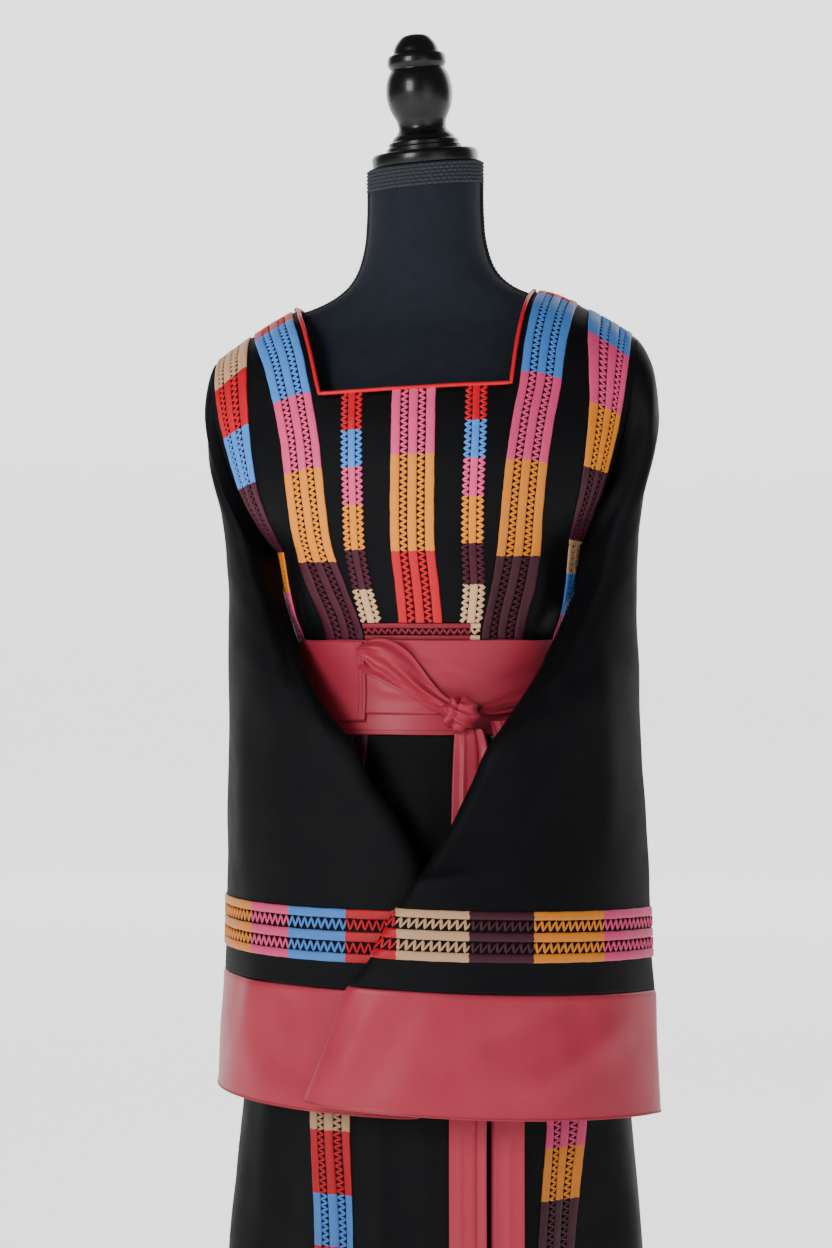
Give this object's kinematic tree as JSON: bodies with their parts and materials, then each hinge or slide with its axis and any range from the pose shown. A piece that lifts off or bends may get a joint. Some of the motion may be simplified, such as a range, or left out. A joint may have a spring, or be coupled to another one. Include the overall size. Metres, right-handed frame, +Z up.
{
  "type": "embroidered thobe dress on a limbless dress form with a pole stand",
  "caption": "Long black thobe dress with striped bands, wide sleeves, satin cuffs and a tied satin belt, on a limbless dress form with a turned finial and a pole stand.",
  "frame": {"origin": "centre of the stand's round base, on the floor", "axes": "+Z up, the dress faces -Y, and the wearer's left sleeve is at +X"},
  "size_m": [0.4788, 0.4591, 1.7296],
  "materials": {
    "black_crepe": "matt black crepe",
    "rose_satin": "dusty rose satin",
    "stripe_thread": "stripes of satin ribbon and open lace in blue, pink, orange, plum, red and beige",
    "red_piping": "red satin piping",
    "form_jersey": "black stretch jersey",
    "black_wood": "black gloss lacquer on turned wood",
    "black_metal": "black satin paint"
  },
  "bodies": {
    "root": {"back": "black_crepe", "belt_band": "rose_satin", "belt_flap": "rose_satin", "belt_knot": "rose_satin", "belt_tail_back": "rose_satin", "belt_tail_front": "rose_satin", "belt_tie_left": "rose_satin", "belt_tie_right": "rose_satin", "cuff_left": "rose_satin", "cuff_right": "rose_satin", "finial": "black_wood", "form_neck_band": "form_jersey", "form_torso": "form_jersey", "front": "black_crepe", "neck_cap": "black_wood", "piping_back": "red_piping", "piping_front": "red_piping", "sleeve_left": "black_crepe", "sleeve_right": "black_crepe", "stand_base": "black_metal", "stand_pole": "black_metal", "trim_back_mid_left": "stripe_thread", "trim_back_mid_right": "stripe_thread", "trim_back_outer_left": "stripe_thread", "trim_back_outer_right": "stripe_thread", "trim_centre": "stripe_thread", "trim_mid_left": "stripe_thread", "trim_mid_right": "stripe_thread", "trim_narrow_left": "stripe_thread", "trim_narrow_right": "stripe_thread", "trim_outer_left": "stripe_thread", "trim_outer_right": "stripe_thread", "trim_sleeve_left": "stripe_thread", "trim_sleeve_right": "stripe_thread", "trim_waist": "stripe_thread"}
  },
  "joints": []
}
